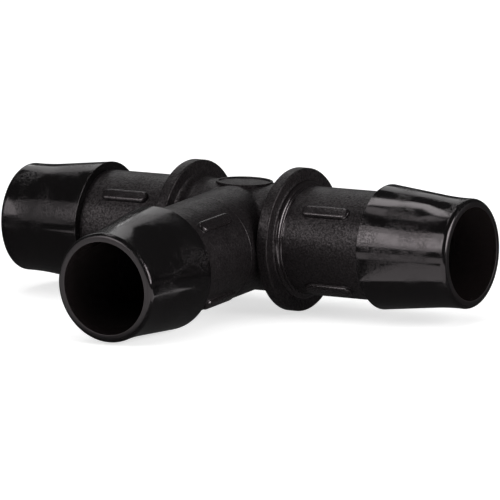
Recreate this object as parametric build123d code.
from build123d import *
import os

# A tee for 19 mm heater hose, one injection moulding of black glass-filled nylon.
# The run lies along X and the branch points along -Y. The origin is where their two axes cross.
# "Station" is the distance from the origin along an arm. Every arm is modelled along +X and then
# turned to its place. The moulding is split at its own shoulders into named regions, which meet
# face to face and leave one open bore right through the run and down the branch.

# Tube, in millimetres like every size here
neck_radius = 9.6            # fits a hose of 19 mm inside diameter
wall = 1.4
neck_length = 15.7           # plain tube between a run collar and its barb
branch_clearance = 0.2       # between the side of the branch and each collar
branch_root_reach = 4.2      # past the run's surface, to the fine line where the mould's inserts meet

# Barb: a straight cone, then a gentle hollow that flares to the lip
barb_length = 17.25
barb_rise = 1.47             # above the neck, at the sharp back edge that bites the hose
barb_edge_round = 0.12
cone_length = 10.3
cone_end_rise = 0.35
lip_rise = 0.1
lip_round = 0.75             # rounds the outer corner of the mouth

# Collar that stops the hose, on the two run arms only
collar_rise = 3.1
collar_thickness = 2.2
collar_rim_round = 0.3
shoulder_rise = 0.9          # ring between the collar and the neck
shoulder_length = 1.0
shoulder_blend = 0.55        # along the arm, from the shoulder down to the neck
collar_root_blend = 1.9      # along the arm, from the hub tube up to the collar

# Grip ribs: short raised bars round each neck
rib_collar_gap = 2.6         # from the start of a run neck to its ribs
rib_length = 9.6
rib_width = 2.3
rib_rise = 0.7
rib_round = 0.5
rib_count = 4
first_rib_angle = 45.0       # from the top of the tube

# Marking pad on top of the hub: a flat oval with a raised rim and a bare floor
pad_half_length = 5.56       # along the run
pad_half_width = 3.55
pad_rise = 0.2               # rim above the crest of the tube
pad_seat = 0.3               # underside below the tube's surface at the sides of the oval
pad_rim_width = 0.48
pad_recess = 0.25
pad_edge_round = 0.1

# Radii and stations worked out from the sizes above
bore_radius = neck_radius - wall
barb_radius = neck_radius + barb_rise
cone_end_radius = neck_radius + cone_end_rise
lip_radius = neck_radius + lip_rise
collar_radius = neck_radius + collar_rise
shoulder_radius = neck_radius + shoulder_rise
collar_station = neck_radius + branch_clearance
collar_end = collar_station + collar_thickness
shoulder_end = collar_end + shoulder_length
run_neck_start = shoulder_end + shoulder_blend
branch_neck_start = neck_radius + branch_root_reach
barb_station = run_neck_start + neck_length
cone_end_station = barb_station + cone_length
arm_length = barb_station + barb_length
rib_start = run_neck_start + rib_collar_gap
pad_top = neck_radius + pad_rise
pad_bottom = (neck_radius**2 - pad_half_width**2) ** 0.5 - pad_seat

# Turns that take an arm from +X to its place
to_right = Rot(0, 0, 0)
to_left = Rot(0, 0, 180)
to_branch = Rot(0, 0, -90)


def turned(*lines):
    """The solid that a closed outline of (station, radius) lines sweeps about the X axis."""
    return revolve(make_face(Curve() + list(lines)), Axis.X)


def tube(start, end):
    """A plain length of the arm's tube between two stations."""
    return turned(
        Polyline(
            (start, bore_radius),
            (start, neck_radius),
            (end, neck_radius),
            (end, bore_radius),
            close=True,
        )
    )


def rod(radius, start, end):
    """A solid rod along the arm between two stations."""
    return Pos(start, 0, 0) * Rot(0, 90, 0) * extrude(Circle(radius), end - start)


def edge_at(body, station, radius):
    """The round edges of a turned body at one station and radius."""
    rounds = body.edges().filter_by(GeomType.CIRCLE)
    return rounds.filter_by(
        lambda edge: abs(edge.arc_center.X - station) < 1e-4 and abs(edge.radius - radius) < 1e-4
    )


def barb():
    """The barb: square back, sharp edge, cone, hollow, lip and flat mouth, with the bore through it."""
    back_edge = (barb_station, barb_radius)
    cone_end = (cone_end_station, cone_end_radius)
    cone = Line(back_edge, cone_end)
    hollow = TangentArc(cone_end, (arm_length, lip_radius), tangent=cone % 1)
    ends = Polyline(
        (arm_length, lip_radius),
        (arm_length, bore_radius),
        (barb_station, bore_radius),
        back_edge,
    )
    body = turned(cone, hollow, ends)
    body = fillet(edge_at(body, arm_length, lip_radius), lip_round)
    return fillet(edge_at(body, barb_station, barb_radius), barb_edge_round)


def collar():
    """The hose stop: a thick rounded flange, a shoulder ring and the blend down to the neck."""
    blend = TangentArc(
        (run_neck_start, neck_radius), (shoulder_end, shoulder_radius), tangent=(-1, 0)
    )
    rest = Polyline(
        (shoulder_end, shoulder_radius),
        (collar_end, shoulder_radius),
        (collar_end, collar_radius),
        (collar_station, collar_radius),
        (collar_station, bore_radius),
        (run_neck_start, bore_radius),
        (run_neck_start, neck_radius),
    )
    body = turned(blend, rest)
    rims = edge_at(body, collar_station, collar_radius) + edge_at(body, collar_end, collar_radius)
    return fillet(rims, collar_rim_round)


def ribs():
    """Four raised bars round a neck, seated on its surface."""
    outline = SlotOverall(rib_length, rib_width)
    bar = extrude(Pos(0, 0, bore_radius) * outline, wall + rib_rise)
    bar = fillet(bar.faces().sort_by(Axis.Z)[-1].edges(), rib_round)
    bar = Pos(rib_start + rib_length / 2, 0, 0) * bar
    bar -= rod(neck_radius, rib_start - rib_width, rib_start + rib_length + rib_width)
    turns = [first_rib_angle + 360 / rib_count * count for count in range(rib_count)]
    return [Rot(turn, 0, 0) * bar for turn in turns]


def pad_outline(inset=0.0):
    """The pad's oval, drawn in by an inset all round."""
    return Ellipse(pad_half_length - inset, pad_half_width - inset)


def pad_block():
    """The oval block that the pad fills, from its seat in the hub to its rim."""
    return Pos(0, 0, pad_bottom) * extrude(pad_outline(), pad_top - pad_bottom)


def marking_pad():
    """The oval plate: rim, recessed bare floor and the part set in the hub."""
    plate = pad_block()
    plate = fillet(plate.faces().sort_by(Axis.Z)[-1].edges(), pad_edge_round)
    recess = Pos(0, 0, pad_top - pad_recess) * extrude(pad_outline(pad_rim_width), pad_recess)
    return plate - recess


def hub():
    """The crossing of the two tubes, with the blends up to both collars and the pad's seat."""
    blend_start = (collar_station - collar_root_blend, neck_radius)
    blend_end = (collar_station, shoulder_radius)
    right_half = turned(
        Line((0, neck_radius), blend_start),
        TangentArc(blend_start, blend_end, tangent=(1, 0)),
        Polyline(blend_end, (collar_station, 0), (0, 0), (0, neck_radius)),
    )
    body = right_half + to_left * right_half + to_branch * rod(neck_radius, 0, branch_neck_start)
    body -= rod(bore_radius, -collar_station, collar_station)
    body -= to_branch * rod(bore_radius, 0, branch_neck_start)
    return body - pad_block()


nodes = {"hub": hub(), "marking_pad": marking_pad()}
arms = {
    "right": (to_right, run_neck_start),
    "left": (to_left, run_neck_start),
    "branch": (to_branch, branch_neck_start),
}
for side, (turn, neck_start) in arms.items():
    nodes[f"{side}_neck"] = turn * tube(neck_start, barb_station)
    nodes[f"{side}_barb"] = turn * barb()
    nodes[f"{side}_ribs"] = Compound([turn * bar for bar in ribs()])
for side, turn in {"right": to_right, "left": to_left}.items():
    nodes[f"{side}_collar"] = turn * collar()

os.makedirs("parts", exist_ok=True)
for name, shape in nodes.items():
    export_step(shape, f"parts/{name}.step")
